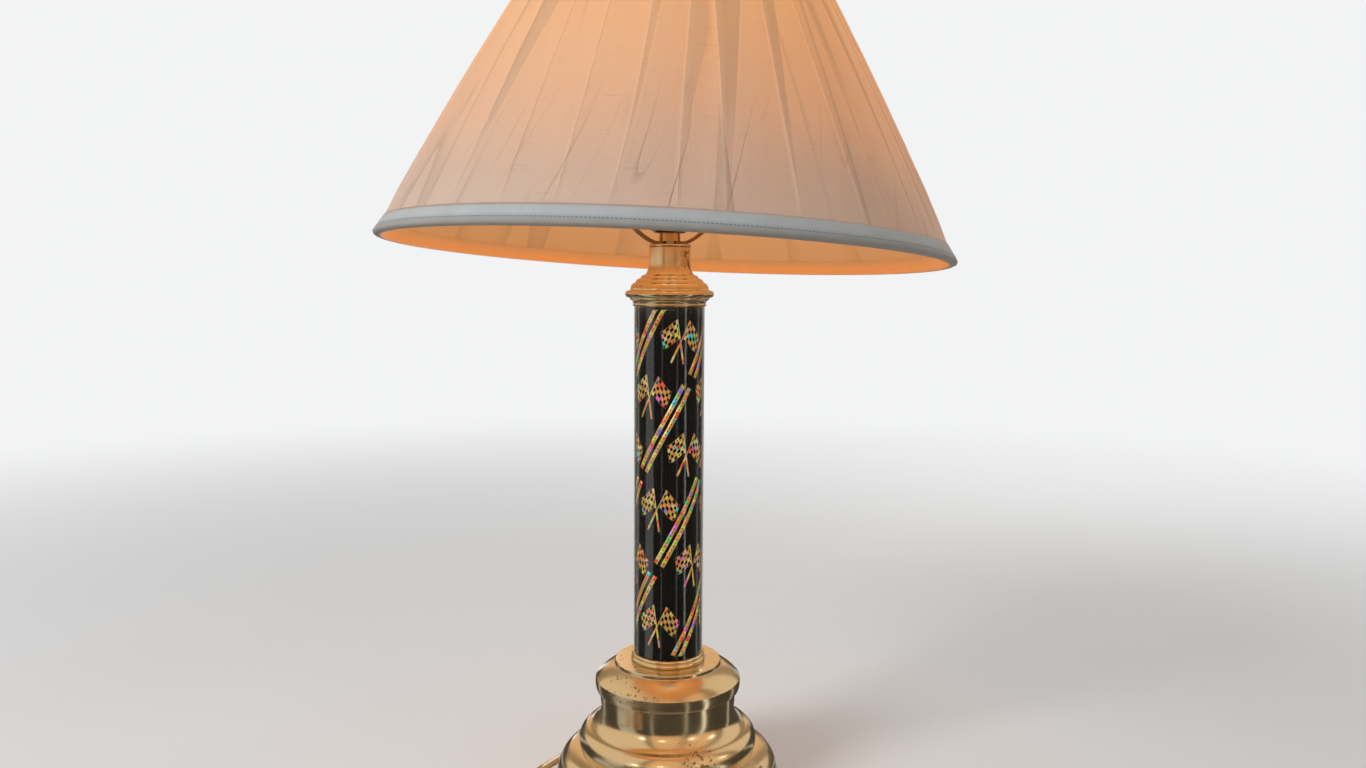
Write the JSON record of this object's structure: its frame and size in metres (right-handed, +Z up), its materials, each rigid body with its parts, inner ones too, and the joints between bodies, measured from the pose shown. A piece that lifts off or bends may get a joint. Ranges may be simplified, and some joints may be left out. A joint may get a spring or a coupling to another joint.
{
  "type": "rotating motion lamp",
  "caption": "Table lamp with a motor-driven patterned drum turning in a clear column on a stepped brass base, under a pleated empire shade.",
  "frame": {"origin": "on the floor under the middle of the base, at the centre of the felt pad's lower face", "axes": "+Z up along the column, -Y towards the front of the lamp, +X to the right"},
  "size_m": [0.4059, 0.406, 0.6593],
  "materials": {
    "brass": "polished, lacquered",
    "felt": "pressed felt",
    "steel": "zinc plated",
    "iron": "as cast",
    "nylon": "natural moulded plastic",
    "clear_plastic": "clear polished tube",
    "black_drum": "gloss black",
    "liner_card": "fibre paper",
    "dark_plastic": "moulded, dark",
    "contact_metal": "plated sheet metal",
    "cord_vinyl": "translucent gold vinyl",
    "plug_vinyl": "moulded vinyl",
    "shade_cloth": "pleated sheer cloth",
    "lining_cloth": "smooth lining",
    "frame_wire": "painted wire",
    "trim_tape": "grey-blue bias tape",
    "bulb_glass": "frosted"
  },
  "bodies": {
    "stand": {"felt_pad": "felt", "base_plate": "steel", "base_weight": "iron", "base_shell": "brass", "base_crown": "brass", "motor_bracket": "steel", "drive_motor": "steel", "bracket_screws": "steel", "lock_washer": "steel", "rod_nuts": "brass", "centre_rod": "steel", "lower_bush": "nylon", "upper_bush": "nylon", "tube_seat": "brass", "clear_tube": "clear_plastic", "tube_collar": "brass", "top_cap": "brass", "neck_sleeve": "brass", "neck_ring": "brass", "harp_saddle": "brass", "socket_hub": "brass", "socket_cap": "brass", "socket_shell": "brass", "socket_liner": "liner_card", "socket_core": "dark_plastic", "screw_shell": "contact_metal", "centre_contact": "contact_metal", "cord_bushing": "dark_plastic", "power_cord": "cord_vinyl", "cord_coil": "cord_vinyl", "cord_plug": "plug_vinyl", "plug_blades": "contact_metal"},
    "drum": {"drum_tube": "black_drum", "drum_lower_hub": "nylon", "drum_gear": "nylon", "drum_top_hub": "nylon"},
    "pinion": {"motor_pinion": "brass", "motor_shaft": "steel"},
    "knob": {"switch_knob": "dark_plastic", "knob_stem": "steel"},
    "harp": {"harp_wire": "brass", "harp_feet": "brass", "harp_stud": "brass"},
    "left_lock": {"left_sleeve": "brass"},
    "right_lock": {"right_sleeve": "brass"},
    "shade": {"shade_cover": "shade_cloth", "shade_lining": "lining_cloth", "shade_ring": "frame_wire", "shade_top_ring": "frame_wire", "shade_ribs": "frame_wire", "shade_spider": "brass", "hem_trim": "trim_tape", "top_trim": "trim_tape"},
    "finial_knob": {"finial": "brass"},
    "bulb": {"light_bulb": "bulb_glass", "bulb_base": "contact_metal"}
  },
  "joints": [
    {"name": "drum_spin", "type": "hinge", "parent": "stand", "child": "drum", "pos_m": [0, 0, 0.104], "axis": [0, 0, 1], "continuous": true},
    {"name": "pinion_spin", "type": "hinge", "parent": "stand", "child": "pinion", "pos_m": [0.028, 0, 0.083], "axis": [0, 0, 1], "continuous": true},
    {"name": "knob_turn", "type": "hinge", "parent": "stand", "child": "knob", "pos_m": [0, 0, 0.4385], "axis": [0, -1, 0], "continuous": true},
    {"name": "bulb_turn", "type": "hinge", "parent": "stand", "child": "bulb", "pos_m": [0, 0, 0.45], "axis": [0, 0, 1], "continuous": true},
    {"name": "harp_lift", "type": "slide", "parent": "stand", "child": "harp", "axis": [0.046, 0.046, 0.9979], "range_m": [0, 0.02]},
    {"name": "left_sleeve_lift", "type": "slide", "parent": "harp", "child": "left_lock", "axis": [0.046, 0.046, 0.9979], "range_m": [0, 0.014]},
    {"name": "right_sleeve_lift", "type": "slide", "parent": "harp", "child": "right_lock", "axis": [0.046, 0.046, 0.9979], "range_m": [0, 0.014]},
    {"name": "shade_swivel", "type": "hinge", "parent": "harp", "child": "shade", "pos_m": [0.00798, 0.00998, 0.62164], "axis": [0.046, 0.046, 0.9979], "continuous": true},
    {"name": "finial_turn", "type": "hinge", "parent": "harp", "child": "finial_knob", "pos_m": [0.00812, 0.01012, 0.62463], "axis": [0.046, 0.046, 0.9979], "continuous": true}
  ],
  "couplings": [
    {"joint": "pinion_spin", "follows": "drum_spin", "ratio": -3.375}
  ]
}
